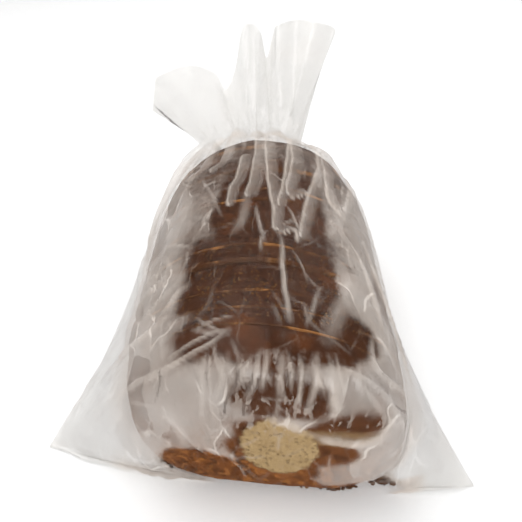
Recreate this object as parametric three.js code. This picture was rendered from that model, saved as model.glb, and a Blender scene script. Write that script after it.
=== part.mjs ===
// A sliced loaf of brown bread lying in a soft see-through bag, as one filled body.
// The bag lies on its side: its sealed end is at -Y, flat on the table with a corner
// standing out to each side, and its mouth is gathered behind the loaf and opens into
// a frill. Millimetres, +Z up, resting on Z = 0.
import * as THREE from "three";

// Driving dimensions. Places are from the loaf's foot: on the table, under the middle of
// the near heel.
const loaf = {
  length: 238,
  height: 95,
};
const film = {
  clearance: 3, // how far the bag stands off the loaf's top
  press: 3, // the rounded underside is flattened by this much where it rests
  tent: [1.25, 2.3], // roundness of the upper half, at the sealed end and over the loaf
  belly: [3.2, 2], // roundness of the lower half, under the loaf and at the gather
};
const seal = {
  thickness: 1, // the sealed end, pressed flat
  blend: 0.07, // share of the bag's length over which it opens out
  line: [
    [113, 2],
    [84, -1],
    [56, -3],
    [30, -2],
    [4, 1],
    [-24, 5],
    [-52, 10],
    [-84, 18],
    [-118, 27],
  ],
};
const neck = {
  behindLoaf: 12, // the gather is this far past the loaf's end
  height: 66, // its centre above the table
  shift: -7, // and to the left of the loaf's middle
  halfWidth: 34,
  halfDepth: 14,
  pleats: 16,
  pleatDepth: 0.3, // share of the radius that a pleat cuts in
};
const frill = {
  thickness: 11, // between its two layers, at the middle
  edgeThickness: 2, // and at its two sides
  backLower: 3, // the back layer is this much lower
  billow: 3,
  waves: 7,
  rim: [
    [54, 287, 138],
    [52, 286, 143],
    [32, 284, 149],
    [13, 282, 147],
    [9, 279, 142],
    [4, 275, 124],
    [0, 278, 142],
    [-6, 281, 147],
    [-14, 280, 143],
    [-19, 275, 116],
    [-27, 270, 101],
    [-34, 273, 114],
    [-54, 275, 118],
    [-76, 275, 111],
    [-80, 275, 98],
    [-83, 275, 82],
  ],
};
const count = {
  around: 80,
  body: 44,
  frill: 12,
};

const top = loaf.height + film.clearance;
const neckY = loaf.length + neck.behindLoaf;

// Four lines run along the bag from its sealed end to the gather: over the top, along
// the underside, and along the left and right edges. Each is a smooth curve.
function line(points) {
  const curve = new THREE.CatmullRomCurve3(points.map((p) => new THREE.Vector3(...p)));
  return (share) => curve.getPoint(share);
}

const overTop = line([
  [0, -5, seal.thickness],
  [0, -8, 0.36 * top],
  [-1, -4, 0.74 * top],
  [-2, 26, 0.99 * top],
  [-4, 95, top],
  [-6, 160, top],
  [-8, 0.9 * loaf.length, 0.95 * top],
  [neck.shift, neckY, neck.height + neck.halfDepth],
]);
const underside = line([
  [0, -4, 0],
  [0, 10, -film.press],
  [0, 30, -film.press],
  [0, 60, -film.press],
  [0, 110, -film.press],
  [-3, 165, -film.press],
  [-6, 0.91 * loaf.length, 3],
  [neck.shift, neckY, neck.height - neck.halfDepth],
]);
const leftEdge = line([
  [-118, 27, seal.thickness / 2],
  [-113, 42, 6],
  [-107, 62, 15],
  [-100, 87, 26],
  [-91, 122, 37],
  [-80, 165, 47],
  [-65, 0.9 * loaf.length, 56],
  [neck.shift - neck.halfWidth, neckY, neck.height],
]);
const rightEdge = line([
  [113, 2, seal.thickness / 2],
  [106, 18, 6],
  [98, 42, 15],
  [91, 72, 26],
  [84, 112, 36],
  [77, 162, 45],
  [63, 0.9 * loaf.length, 56],
  [neck.shift + neck.halfWidth, neckY, neck.height],
]);
const sealLine = line(seal.line.map(([x, y]) => [x, y, 0]));
const rimLine = line(frill.rim);

const smooth = (low, high, value) => THREE.MathUtils.smoothstep(value, low, high);
const mix = THREE.MathUtils.lerp;

// Goes from 0 at the right edge to 1 at the left, along the upper and the lower half.
function acrossBag(turn) {
  return 1 - Math.abs(1 - 2 * turn);
}

// A triangle wave from 0 on a ridge to 1 in a valley.
function pleatWave(turn) {
  const part = (turn * neck.pleats) % 1;
  return 1 - Math.abs(2 * part - 1);
}

// One ring of the bag's body. The upper half is a tent over the loaf near the sealed
// end and follows the round crust further back; the lower half is flat on the table.
function bodyRing(share) {
  const [up, down] = [overTop(share), underside(share)];
  const [left, right] = [leftEdge(share), rightEdge(share)];
  const centre = left.clone().add(right).multiplyScalar(0.5);
  const middle = up.clone().add(down).multiplyScalar(0.5);
  const upperRound = mix(...film.tent, smooth(0.05, 0.75, share));
  const lowerRound = mix(...film.belly, smooth(0.8, 1, share));
  const pleating = neck.pleatDepth * smooth(0.72, 1, share);
  return Array.from({ length: count.around }, (_, i) => {
    const turn = i / count.around;
    const angle = 2 * Math.PI * turn;
    const upper = Math.sin(angle) >= 0;
    const power = 2 / (upper ? upperRound : lowerRound);
    const side = Math.abs(Math.cos(angle)) ** power;
    const rise = Math.abs(Math.sin(angle)) ** power;
    const point = centre
      .clone()
      .addScaledVector((Math.cos(angle) >= 0 ? right : left).clone().sub(centre), side)
      .addScaledVector((upper ? up : down).clone().sub(centre), rise);
    const pressed = sealLine(acrossBag(turn)).setZ((upper ? seal.thickness : 0) * Math.sin(angle) ** 2);
    const open = middle.clone().lerp(point, 1 - pleating * pleatWave(turn));
    return pressed.lerp(open, smooth(0, seal.blend, share));
  });
}

// One ring of the frill: share runs from the gather to the rim, whose front and back
// layers meet at the two sides.
function frillRing(gather, share) {
  return gather.map((start, i) => {
    const turn = i / count.around;
    const across = acrossBag(turn);
    const belly = Math.sin(Math.PI * across);
    const edge = rimLine(across);
    const apart = mix(frill.edgeThickness, frill.thickness, belly);
    const back = turn > 0 && turn < 0.5 ? 0 : 1;
    edge.y += back * apart;
    edge.z -= back * frill.backLower * belly;
    const point = start.clone().lerp(edge, share ** 0.9);
    point.y += frill.billow * belly * Math.sin(0.75 * Math.PI * share) * Math.cos(2 * Math.PI * frill.waves * across);
    return point;
  });
}

// Joins rings into one closed body: both ends are closed across their flat slits.
function closedBody(rings) {
  const around = count.around;
  const positions = rings.flatMap((ring) => ring.flatMap((p) => [p.x, p.y, Math.max(p.z, 0)]));
  const faces = [];
  const quad = (a, b, c, d) => faces.push(a, b, c, a, c, d);
  for (let r = 0; r + 1 < rings.length; r++) {
    for (let i = 0; i < around; i++) {
      const next = (i + 1) % around;
      quad(r * around + i, (r + 1) * around + i, (r + 1) * around + next, r * around + next);
    }
  }
  closeSlit(0, true);
  closeSlit((rings.length - 1) * around, false);

  function closeSlit(base, facesFront) {
    const corner = (i) => base + ((i + around) % around);
    const add = (...loop) => {
      const order = facesFront ? loop : loop.slice().reverse();
      for (let k = 1; k + 1 < order.length; k++) {
        faces.push(order[0], order[k], order[k + 1]);
      }
    };
    add(corner(0), corner(1), corner(-1));
    for (let i = 1; i < around / 2 - 1; i++) {
      add(corner(i), corner(i + 1), corner(-i - 1), corner(-i));
    }
    add(corner(around / 2 - 1), corner(around / 2), corner(around / 2 + 1));
  }

  const geometry = new THREE.BufferGeometry();
  geometry.setAttribute("position", new THREE.Float32BufferAttribute(positions, 3));
  geometry.setIndex(faces);
  geometry.computeVertexNormals();
  return geometry;
}

function bagRings() {
  const rings = [];
  for (let r = 0; r <= count.body; r++) {
    rings.push(bodyRing(r / count.body));
  }
  const gather = rings[count.body];
  for (let r = 1; r <= count.frill; r++) {
    rings.push(frillRing(gather, r / count.frill));
  }
  return rings;
}

const geometry = closedBody(bagRings());
geometry.computeBoundingBox();
const { min, max } = geometry.boundingBox;
geometry.translate(-(min.x + max.x) / 2, -(min.y + max.y) / 2, -min.z);

const bag = new THREE.Mesh(
  geometry,
  new THREE.MeshStandardMaterial({ color: 0xd8d4ce, roughness: 0.3, metalness: 0 }),
);
bag.name = "bread_bag";

const part = new THREE.Group();
part.add(bag);

export default part;
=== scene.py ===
import math
import random

import bmesh
import bpy
import numpy as np
from mathutils import Matrix, Vector, noise
from mathutils.bvhtree import BVHTree


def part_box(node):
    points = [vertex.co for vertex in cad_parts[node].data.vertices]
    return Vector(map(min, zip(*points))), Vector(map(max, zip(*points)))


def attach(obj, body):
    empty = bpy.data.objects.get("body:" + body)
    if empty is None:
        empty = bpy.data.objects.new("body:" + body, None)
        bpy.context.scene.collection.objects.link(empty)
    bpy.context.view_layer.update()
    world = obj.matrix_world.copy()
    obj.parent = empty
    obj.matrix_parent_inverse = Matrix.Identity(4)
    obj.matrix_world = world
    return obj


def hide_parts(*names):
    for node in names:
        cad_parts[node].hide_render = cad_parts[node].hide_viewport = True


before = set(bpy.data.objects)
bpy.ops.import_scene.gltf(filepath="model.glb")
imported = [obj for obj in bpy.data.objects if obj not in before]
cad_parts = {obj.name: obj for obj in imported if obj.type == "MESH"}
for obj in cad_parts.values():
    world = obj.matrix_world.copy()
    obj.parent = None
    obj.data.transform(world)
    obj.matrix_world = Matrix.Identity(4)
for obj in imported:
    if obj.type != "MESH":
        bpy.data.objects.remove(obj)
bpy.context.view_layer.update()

mm = 0.001
low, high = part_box("bread_bag")
foot = Vector((low.x + 118 * mm, low.y + 8.2 * mm, 0))  # on the table, under the middle of the near heel
scene = bpy.context.scene


def tint(red, green, blue):  # a screen colour, 0 to 255, as the linear colour a socket takes
    parts = [v / 255 for v in (red, green, blue)]
    return tuple(v / 12.92 if v <= 0.04045 else ((v + 0.055) / 1.055) ** 2.4 for v in parts) + (1.0,)


def feed(tree, slot, value):
    if isinstance(value, Wire):
        tree.links.new(value.source, slot)
    else:
        slot.default_value = value


class Wire:
    def __init__(self, tree, source):
        self.tree = tree
        self.source = source

    def calc(self, operation, *values):
        node = self.tree.nodes.new("ShaderNodeMath")
        node.operation = operation
        for slot, value in zip(node.inputs, values):
            feed(self.tree, slot, value)
        return Wire(self.tree, node.outputs[0])

    def __add__(self, other):
        return self.calc("ADD", self, other)

    def __radd__(self, other):
        return self.calc("ADD", other, self)

    def __sub__(self, other):
        return self.calc("SUBTRACT", self, other)

    def __rsub__(self, other):
        return self.calc("SUBTRACT", other, self)

    def __mul__(self, other):
        return self.calc("MULTIPLY", self, other)

    def __rmul__(self, other):
        return self.calc("MULTIPLY", other, self)

    def atMost(self, other):
        return self.calc("MINIMUM", self, other)

    def atLeast(self, other):
        return self.calc("MAXIMUM", self, other)

    def size(self):
        return self.calc("ABSOLUTE", self)


class Finish:
    def __init__(self, name):
        self.material = bpy.data.materials.new(name)
        self.material.use_nodes = True
        self.tree = self.material.node_tree
        self.tree.nodes.clear()

    def add(self, kind, settings=None, inputs=None, output=0):
        node = self.tree.nodes.new(kind)
        for key, value in (settings or {}).items():
            setattr(node, key, value)
        for key, value in (inputs or {}).items():
            feed(self.tree, node.inputs[key], value)
        return Wire(self.tree, node.outputs[output])

    def place(self):  # where a point is from the loaf's foot, in millimetres
        point = self.add("ShaderNodeTexCoord", output="Object")
        near = self.add("ShaderNodeVectorMath", {"operation": "SUBTRACT"}, {0: point, 1: tuple(foot)})
        return self.add("ShaderNodeVectorMath", {"operation": "SCALE"}, {0: near, "Scale": 1 / mm})

    def axes(self, point):
        return [self.add("ShaderNodeSeparateXYZ", None, {0: point}, axis) for axis in "XYZ"]

    def noise(self, point, size, detail=2.0, rough=0.5):
        values = {"Vector": point, "Scale": 1 / size, "Detail": detail, "Roughness": rough}
        return self.add("ShaderNodeTexNoise", {"noise_type": "FBM", "normalize": True}, values)

    def cells(self, point, size, feature="F1", output="Distance"):
        values = {"Vector": point, "Scale": 1 / size}
        return self.add("ShaderNodeTexVoronoi", {"feature": feature}, values, output)

    def step(self, value, start, end):  # 0 below start, 1 above end, smooth between
        settings = {"interpolation_type": "SMOOTHSTEP"}
        return self.add("ShaderNodeMapRange", settings, {"Value": value, "From Min": start, "From Max": end})

    def blend(self, share, under, over):  # sockets 6 and 7 are a Mix node's two colours, and 2 its result
        return self.add("ShaderNodeMix", {"data_type": "RGBA"}, {0: share, 6: under, 7: over}, 2)

    def bump(self, height, depth, strength=1.0, under=None):
        values = {"Height": height, "Distance": depth, "Strength": strength}
        if under is not None:
            values["Normal"] = under
        return self.add("ShaderNodeBump", None, values)

    def spot(self, point, centre, radii):  # how far from centre, in units of the radii
        away = self.add("ShaderNodeVectorMath", {"operation": "SUBTRACT"}, {0: point, 1: centre})
        scaled = self.add("ShaderNodeVectorMath", {"operation": "DIVIDE"}, {0: away, 1: radii})
        return self.add("ShaderNodeVectorMath", {"operation": "LENGTH"}, {0: scaled}, "Value")

    def finish(self, shader):  # a whole shader, or the values of a Principled one
        if isinstance(shader, dict):
            shader = self.add("ShaderNodeBsdfPrincipled", None, shader)
        out = self.tree.nodes.new("ShaderNodeOutputMaterial")
        self.tree.links.new(shader.source, out.inputs["Surface"])
        return self.material


def smooth(start, end, value):
    share = np.clip((value - start) / (end - start), 0, 1)
    return share * share * (3 - 2 * share)


def power(value, exponent):  # keeps the sign
    return math.copysign(abs(value) ** exponent, value)


def putInOrder(bm):  # by place: extruding leaves corners and faces in another order each time
    def rank(place):
        return place.dot(Vector((0.61, 1, 0.37)))

    bm.verts.sort(key=lambda corner: rank(corner.co))
    bm.edges.sort(key=lambda edge: rank(edge.verts[0].co + edge.verts[1].co))
    bm.faces.sort(key=lambda face: rank(face.calc_center_median()))


def finished(bm, name, materials):
    bmesh.ops.translate(bm, verts=bm.verts, vec=foot)
    mesh = bpy.data.meshes.new(name)
    bm.to_mesh(mesh)
    bm.free()
    for face in mesh.polygons:
        face.use_smooth = True
    piece = bpy.data.objects.new(name, mesh)
    scene.collection.objects.link(piece)
    for material in materials:
        mesh.materials.append(material)
    return piece


def subdivide(piece):  # and keeps the finer mesh
    modifier = piece.modifiers.new("rounder", "SUBSURF")
    modifier.levels = modifier.render_levels = 1
    bpy.context.view_layer.update()
    graph = bpy.context.evaluated_depsgraph_get()
    rounder = piece.evaluated_get(graph)
    mesh = bpy.data.meshes.new_from_object(rounder, preserve_all_data_layers=True, depsgraph=graph)
    piece.modifiers.clear()
    piece.data = mesh


loaf = {
    "length": 238 * mm,
    "width": 151 * mm,
    "height": 95 * mm,
    "widestAt": 40 * mm,  # the height where it is widest
    "upperRound": 2.05,
    "narrower": 0.12,  # at the far end, as a share of its width
    "aside": 1.5 * mm,  # its middle is this far to the right of the foot
    "lowerRound": 3.5,
    "nearRound": 6.0,
    "farRound": 3.8,
    "skew": 0.12,  # the near heel's right side is nearer
    "skewEnds": 130 * mm,
    "flareUp": (0.12, 0.88),  # the ends stay this much taller than they are wide
    "flareDown": (0.5, 0.5),
    "sway": 1.6 * mm,  # its sides aren't quite straight
    "swayOver": 31 * mm,
    "lumps": 2.2,  # in millimetres
    "lumpSize": 38 * mm,
    "lumpsAlong": 0.45,  # they are longer along the loaf
    "nearer": 3 * mm,  # the heel leans out over the sealed end
    "heel": 28 * mm,
    "farHeel": 24 * mm,
    "slice": 11.6 * mm,
    "gap": 0.35 * mm,
    "around": 168,
    "lift": 0.6 * mm,  # the film lies under it
}


def endTaper(y):  # how much the section shrinks towards an end
    middle = loaf["length"] / 2
    share = min(abs(y - middle) / middle, 1)
    curve = loaf["nearRound"] if y < middle else loaf["farRound"]
    return (1 - share ** curve) ** (1 / curve)


def crustPoint(turn, y, grow=0.0):
    taper = endTaper(y)
    across, up = math.cos(turn), math.sin(turn)
    curve = loaf["upperRound"] if up >= 0 else loaf["lowerRound"]
    reach = loaf["height"] - loaf["widestAt"] if up >= 0 else loaf["widestAt"]
    point = Vector((0, y, loaf["widestAt"] + loaf["lift"]))
    width = loaf["width"] * (1 - loaf["narrower"] * y / loaf["length"])
    point.x = (width / 2 + grow) * power(across, 2 / curve) * taper + loaf["aside"]
    least, rest = loaf["flareUp"] if up >= 0 else loaf["flareDown"]
    point.z += (reach + grow) * power(up, 2 / curve) * (least + rest * taper)
    point.x += loaf["sway"] * math.sin(point.z / loaf["swayOver"] + 1.0) * taper
    lump = noise.noise(Vector((point.x, y * loaf["lumpsAlong"], point.z)) / loaf["lumpSize"])
    point += Vector((across, 0, max(up, 0))) * lump * loaf["lumps"] * mm * taper
    point.y -= point.x * loaf["skew"] * max(0, 1 - y / loaf["skewEnds"])
    point.y -= loaf["nearer"] * max(0, 1 - y / loaf["skewEnds"])
    return point


def depthForTaper(taper, near=True):  # how far from the middle the section has shrunk that much
    curve = loaf["nearRound"] if near else loaf["farRound"]
    share = (1 - taper ** curve) ** (1 / curve)
    middle = loaf["length"] / 2
    return middle - share * middle if near else middle + share * middle


def startRing(bm, place):
    made = bmesh.ops.create_circle(bm, segments=loaf["around"], radius=1)["verts"]
    number = bm.verts.layers.int["number"]
    for index, corner in enumerate(made):
        corner[number] = index
        corner.co = place(math.tau * index / loaf["around"])
    edges = [edge for corner in made for edge in corner.link_edges]
    return list(dict.fromkeys(edges))  # each edge once


def nextRing(bm, edges, place, material):  # pulls the open edge out to a new ring
    number = bm.verts.layers.int["number"]
    made = bmesh.ops.extrude_edge_only(bm, edges=edges)["geom"]
    for part in made:
        if isinstance(part, bmesh.types.BMVert):
            part.co = place(math.tau * part[number] / loaf["around"])
        elif isinstance(part, bmesh.types.BMFace):
            part.material_index = material
    return [part for part in made if isinstance(part, bmesh.types.BMEdge) and part.is_boundary]


def closeRing(bm, edges, material):
    for face in bmesh.ops.contextual_create(bm, geom=edges)["faces"]:
        face.material_index = material


slices = {
    "edge": 0.35 * mm,  # the cut edge is broken off by this much
    "rows": 5,
    "faceRings": (0.93, 0.72, 0.4, 0.12),
    "sideways": 0.9 * mm,
    "taller": 0.016,
    "lean": 0.5 * mm,
    "bulge": 0.45 * mm,  # inside, each slice touches the next
    "poreSize": 3 * mm,
    "poreDepth": 0.35 * mm,
    "seed": 11,
}


def cutFace(y, side):  # the rings of a cut face, from its crumbly rim to its middle
    def ring(share, out):
        def place(turn):
            middle = Vector((0, y, loaf["widestAt"] * 1.05))
            rim = crustPoint(turn, y)
            point = middle + (rim - middle) * share
            point.y = rim.y * share + y * (1 - share) + side * out
            point.y -= side * abs(noise.noise(point / slices["poreSize"]) * slices["poreDepth"])
            return point
        return place
    return ring


def addSlice(bm, start, end, shift, tall, lean):
    def moved(place):
        def shifted(turn):
            point = place(turn)
            point.x += shift
            point.z *= tall
            point.y += lean * (point.z / loaf["height"]) ** 2
            return point
        return shifted

    edge = slices["edge"]
    nearFace, farFace = cutFace(start, -1), cutFace(end, 1)
    bulge = slices["bulge"]
    rings = [(moved(nearFace(share, bulge)), 1) for share in reversed(slices["faceRings"])]
    rings.append((moved(lambda turn: crustPoint(turn, start, -edge)), 1))
    for row in range(slices["rows"] + 1):
        y = start + edge + (end - start - 2 * edge) * row / slices["rows"]
        rings.append((moved(lambda turn, y=y: crustPoint(turn, y)), 1 if row == 0 else 0))
    rings.append((moved(lambda turn: crustPoint(turn, end, -edge)), 1))
    rings += [(moved(farFace(share, bulge)), 1) for share in slices["faceRings"]]
    edges = startRing(bm, rings[0][0])
    closeRing(bm, edges, 1)
    for place, material in rings[1:]:
        edges = nextRing(bm, edges, place, material)
    closeRing(bm, edges, 1)


heel = {
    "firstRings": (4 * mm, 8 * mm),  # from its cut face
    "rings": 48,  # from there to its round end
    "kissCentre": Vector((9, 0, 42)) * mm,  # the pale patch
    "kissRadii": (19.8 * mm, 21 * mm),
    "kissRise": 0.9 * mm,
    "kissDepth": 20 * mm,
}


def addHeel(bm, near):
    cut = loaf["heel"] if near else loaf["length"] - loaf["farHeel"]
    away = -1 if near else 1
    face = cutFace(cut, -away)
    rings = [(face(share, 0), 1) for share in reversed(slices["faceRings"])]
    rings.append((lambda turn: crustPoint(turn, cut, -slices["edge"]), 1))
    rings.append((lambda turn: crustPoint(turn, cut + away * slices["edge"]), 1))
    depths = [cut + away * depth for depth in heel["firstRings"]]
    taper = endTaper(depths[-1])
    depths += [depthForTaper(taper * (1 - share), near) for share in np.linspace(0.02, 0.98, heel["rings"])]
    for depth in depths:
        rings.append((lambda turn, depth=depth: crustPoint(turn, depth), 0))
    edges = startRing(bm, rings[0][0])
    closeRing(bm, edges, 1)
    for place, material in rings[1:]:
        edges = nextRing(bm, edges, place, material)
    closeRing(bm, edges, 0)


def roughened(bm, height):  # moves the crust in and out along its normals
    bmesh.ops.recalc_face_normals(bm, faces=bm.faces)
    bm.normal_update()
    for corner in bm.verts:
        if any(face.material_index == 0 for face in corner.link_faces):
            corner.co += corner.normal * height(corner.co)


reliefs = {  # sizes and heights of the bumps in the mesh
    "crust": ((17 * mm, 0.7 * mm), (5 * mm, 0.32 * mm)),
    "torn": ((2.6 * mm, 0.35 * mm), (6 * mm, 0.4 * mm)),
}


def bumps(point, kind):
    return sum(noise.noise(point / size) * height for size, height in reliefs[kind])


def crustRelief(point):
    return bumps(point, "crust")


def kissShare(point):  # 1 on the pale round patch where the loaf touched its neighbour
    away = point - heel["kissCentre"]
    ragged = 1 + 0.10 * noise.noise(point / (7 * mm)) + 0.05 * noise.noise(point / (2.5 * mm))
    reach = math.hypot(away.x / heel["kissRadii"][0], away.z / heel["kissRadii"][1]) / ragged
    return float(smooth(1.06, 0.94, reach)) if point.y < heel["kissDepth"] else 0.0


def heelRelief(point):
    torn = kissShare(point)
    return crustRelief(point) * (1 - torn) + torn * (heel["kissRise"] + bumps(point, "torn"))


def makeLoaf():
    draws = random.Random(slices["seed"])
    bm = bmesh.new()
    bm.verts.layers.int.new("number")
    start = loaf["heel"]
    last = loaf["length"] - loaf["farHeel"]
    amount = round((last - start) / loaf["slice"])
    pitch = (last - start) / amount
    for index in range(amount):
        near = start + index * pitch + loaf["gap"]
        shift = draws.uniform(-1, 1) * slices["sideways"]
        tall = 1 + draws.uniform(-1, 1) * slices["taller"]
        lean = draws.uniform(-1, 1) * slices["lean"]
        addSlice(bm, near, near + pitch - loaf["gap"] * 2, shift, tall, lean)
    roughened(bm, crustRelief)
    putInOrder(bm)
    middle = finished(bm, "slices", [crust, crumb])
    ends = []
    for near in (True, False):
        bm = bmesh.new()
        bm.verts.layers.int.new("number")
        addHeel(bm, near)
        roughened(bm, heelRelief if near else crustRelief)
        putInOrder(bm)
        ends.append(finished(bm, "nearHeel" if near else "farHeel", [crust, crumb]))
    print("loaf: ", amount, "slices and two heels")
    return [middle] + ends


crustTints = {
    "low": tint(114, 66, 29),  # the crust is lighter low down
    "high": tint(66, 35, 15),
    "dark": tint(50, 26, 12),
    "warm": tint(112, 62, 26),
    "burnt": tint(32, 18, 10),
    "bran": tint(128, 90, 45),
    "bits": tint(164, 104, 48),
    "scorched": tint(52, 29, 15),
    "torn": (tint(150, 122, 84), tint(184, 158, 116)),
    # painted shade: the colour inside the torn patch's pores
    "poreShade": tint(122, 90, 56),
    "ring": tint(150, 92, 46),
}


def crustFinish():
    f = Finish("crust")
    tints = crustTints
    point = f.place()
    x, y, z = f.axes(point)
    broad = f.noise(point, 26, 3)
    mottle = f.noise(point, 7, 4, 0.6)
    grain = f.noise(point, 1.3, 3, 0.65)
    height = f.step(z + (broad - 0.5) * 30, 18, 88)
    colour = f.blend(height, tints["low"], tints["high"])
    colour = f.blend(f.step(mottle, 0.45, 0.66) * 0.65, colour, tints["dark"])
    colour = f.blend(f.step(broad, 0.52, 0.72) * 0.45, colour, tints["warm"])
    behind = f.step(y, 27, 31)
    coarse = behind * f.step(z, 55, 75)
    dark = f.step(f.noise(point, 2.6, 5, 0.75), 0.5, 0.62) * coarse
    colour = f.blend(dark * 0.75, colour, tints["burnt"])
    flake = f.cells(point, 1.7)
    bran = f.step(flake, 0.34, 0.2) * f.step(f.noise(point, 4), 0.42, 0.58)
    nearBand = 0.3 + 0.7 * f.step(y, 100, 62)  # there's most bran on the first slices
    colour = f.blend(bran * (0.14 + coarse * 0.66 * nearBand), colour, tints["bran"])
    low = f.step(z, 40, 24) * f.step(y, 24, 14)  # the heel's lower edge
    bits = f.step(f.noise(point, 4, 3, 0.6), 0.52, 0.60) * low
    colour = f.blend(bits * 0.6, colour, tints["bits"])
    scorched = f.step(f.noise(point, 5.5, 4, 0.65), 0.56, 0.62) * low
    colour = f.blend(scorched * 0.6, colour, tints["scorched"])

    wide, tall = (radius / mm for radius in heel["kissRadii"])
    onHeel = f.step(y, 22, 14)
    torn = f.spot(point, tuple(heel["kissCentre"] / mm), (wide, 30, tall))
    ragged = f.noise(point, 6, 3) * 0.3 + f.noise(point, 2, 2) * 0.14
    kiss = f.step(torn + ragged, 1.26, 1.12) * onHeel
    tail = f.spot(point, (36, -6, 51), (24, 30, 6))
    kiss = kiss.atLeast(f.step(tail + ragged, 1.4, 0.8) * onHeel * 0.4)
    pores = f.step(f.cells(point, 2.6), 0.16, 0.34)
    pale = f.blend(f.noise(point, 5, 3), *tints["torn"])
    # painted shade: the pores in the torn patch are darkened, for the shade inside them
    pale = f.blend((1 - pores) * 0.22, pale, tints["poreShade"])
    colour = f.blend(kiss, colour, pale)
    ring = f.step(torn + ragged, 1.6, 1.25) * (1 - kiss) * onHeel * f.step(z, 30, 18)
    colour = f.blend(ring * 0.5, colour, tints["ring"])

    fine = f.noise(point, 0.9, 4, 0.7)
    relief = f.bump(mottle, 1.2 * mm, 0.8)
    relief = f.bump(fine + grain * coarse, 0.5 * mm, 0.8, relief)
    relief = f.bump(pores * kiss, 0.8 * mm, 0.9, relief)
    rough = 0.42 + 0.2 * mottle + 0.3 * kiss
    return f.finish({"Base Color": colour, "Roughness": rough, "Normal": relief, "Specular IOR Level": 0.06})


crumbTints = {
    "cut": (tint(84, 50, 26), tint(150, 102, 56)),
    # painted shade: the colour inside the crumb's holes
    "holeShade": tint(84, 50, 24),
    "light": tint(176, 134, 86),
}


def crumbFinish():
    f = Finish("crumb")
    point = f.place()
    holes = f.step(f.cells(point, 2.4), 0.1, 0.4)
    small = f.noise(point, 1.1, 3, 0.6)
    colour = f.blend(f.step(f.noise(point, 14, 3), 0.52, 0.68), *crumbTints["cut"])
    # painted shade: the crumb's holes are darkened, for the shade inside them
    colour = f.blend((1 - holes) * 0.5, colour, crumbTints["holeShade"])
    colour = f.blend(f.step(small, 0.55, 0.7) * 0.4, colour, crumbTints["light"])
    relief = f.bump(holes + small * 0.5, 0.7 * mm, 0.9)
    return f.finish({"Base Color": colour, "Roughness": 0.85, "Normal": relief, "Specular IOR Level": 0.2})


crust = crustFinish()
crumb = crumbFinish()
bread = makeLoaf()
for piece in bread:
    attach(piece, "root")
    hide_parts("bread_bag")


bag = {
    "around": 180,
    "upper": 120,  # this many of its columns are on the upper side
    "bodyRows": 96,
    "frillRows": 30,
    "flatAround": 540 * mm,  # the width of the tube before it's gathered, with its slack
    "slack": 1.06,  # how much longer the film is than the straight way along the bag
    "table": 0.35 * mm,  # the film that lies on the table
    "upperRound": 1.35,  # how full its upper half is at the sealed end
    "fuller": (0.05, 0.75),  # the shares of the way between which it grows by 1
    "lowerRound": (3.2, 1.2, 0.8),  # its lower half, and how much that falls from which share on
    "opens": (-0.01, 0.07),
    "pleatsFrom": 0.70,
    "pleatWaves": ((9, 0.5), (14, 0.6), (19, 0.7), (27, 0.5)),
    "pleatDepth": 6.5 * mm,
    "seed": 7,
}
gather = {
    "place": Vector((-7, 250, 66)) * mm,
    "halfWidth": 34 * mm,
    "halfDepth": 14 * mm,
}


def throughPoints(points):  # a smooth line through the points, as a function of its share
    known = np.array(points, float)
    count = len(known) - 1

    def at(share):
        along = np.clip(np.asarray(share, float), 0, 1) * count
        cell = np.minimum(along.astype(int), count - 1)
        t = (along - cell)[..., None]
        a, b = known[cell], known[cell + 1]
        before = np.where((cell > 0)[..., None], known[np.maximum(cell - 1, 0)], 2 * a - b)
        after = np.where((cell + 2 <= count)[..., None], known[np.minimum(cell + 2, count)], 2 * b - a)
        square = 2 * before - 5 * a + 4 * b - after
        cube = 3 * a - before - 3 * b + after
        return 0.5 * (2 * a + (b - before) * t + square * t ** 2 + cube * t ** 3)

    return at


mouthX, mouthY, mouthZ = (v / mm for v in gather["place"])
mouthWide, mouthDeep = gather["halfWidth"] / mm, gather["halfDepth"] / mm
overTop = throughPoints([(0, -4, 1), (0, -4, 34), (-1, 0, 70), (-2, 28, 97), (-4, 95, 100),
                         (-6, 160, 100), (-8, 214, 93), (mouthX, mouthY, mouthZ + mouthDeep)])
underneath = throughPoints([(0, -4, 0), (0, 10, 0.3), (0, 30, 0.3), (0, 60, 0.3), (0, 110, 0.3),
                            (-3, 165, 0.3), (-6, 216, 5), (mouthX, mouthY, mouthZ - mouthDeep)])
leftSide = throughPoints([(-118, 26, 0.5), (-113, 42, 6), (-107, 62, 15), (-100, 87, 26), (-91, 122, 37),
                          (-80, 165, 47), (-65, 214, 56), (mouthX - mouthWide, mouthY, mouthZ)])
rightSide = throughPoints([(113, 2, 0.5), (106, 18, 6), (98, 42, 15), (91, 72, 26), (84, 112, 36),
                           (77, 162, 45), (63, 214, 56), (mouthX + mouthWide, mouthY, mouthZ)])
sealedEnd = throughPoints([(113, 2, 0.4), (84, -1, 0.4), (56, -3, 0.4), (30, -2, 0.4), (4, 1, 0.4),
                           (-24, 5, 0.4), (-52, 10, 0.4), (-84, 18, 0.4), (-118, 27, 0.4)])


def bagRing(share, turns):  # the loose outline of the bag at one place along it
    up, down, left, right = (line(share) for line in (overTop, underneath, leftSide, rightSide))
    middle = (left + right) / 2
    across, rise = np.cos(math.tau * turns), np.sin(math.tau * turns)
    upper = rise >= 0
    flat, less, start = bag["lowerRound"]
    upperCurve = bag["upperRound"] + smooth(*bag["fuller"], share)
    curve = np.where(upper, upperCurve, flat - less * smooth(start, 1, share))
    side = (np.abs(across) ** (2 / curve))[:, None]
    height = (np.abs(rise) ** (2 / curve))[:, None]
    toSide = np.where((across >= 0)[:, None], right, left) - middle
    toHeight = np.where(upper[:, None], up, down) - middle
    outline = middle + toSide * side + toHeight * height
    pressed = sealedEnd(1 - np.abs(1 - 2 * turns))
    return (pressed + (outline - pressed) * smooth(*bag["opens"], share) * (share > 0)) * mm


def turnShares():  # each column's share of the way round
    upper = np.linspace(0, 0.5, bag["upper"] + 1)[:-1]
    lower = np.linspace(0.5, 1, bag["around"] - bag["upper"] + 1)[:-1]
    return np.concatenate([upper, lower])


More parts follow.
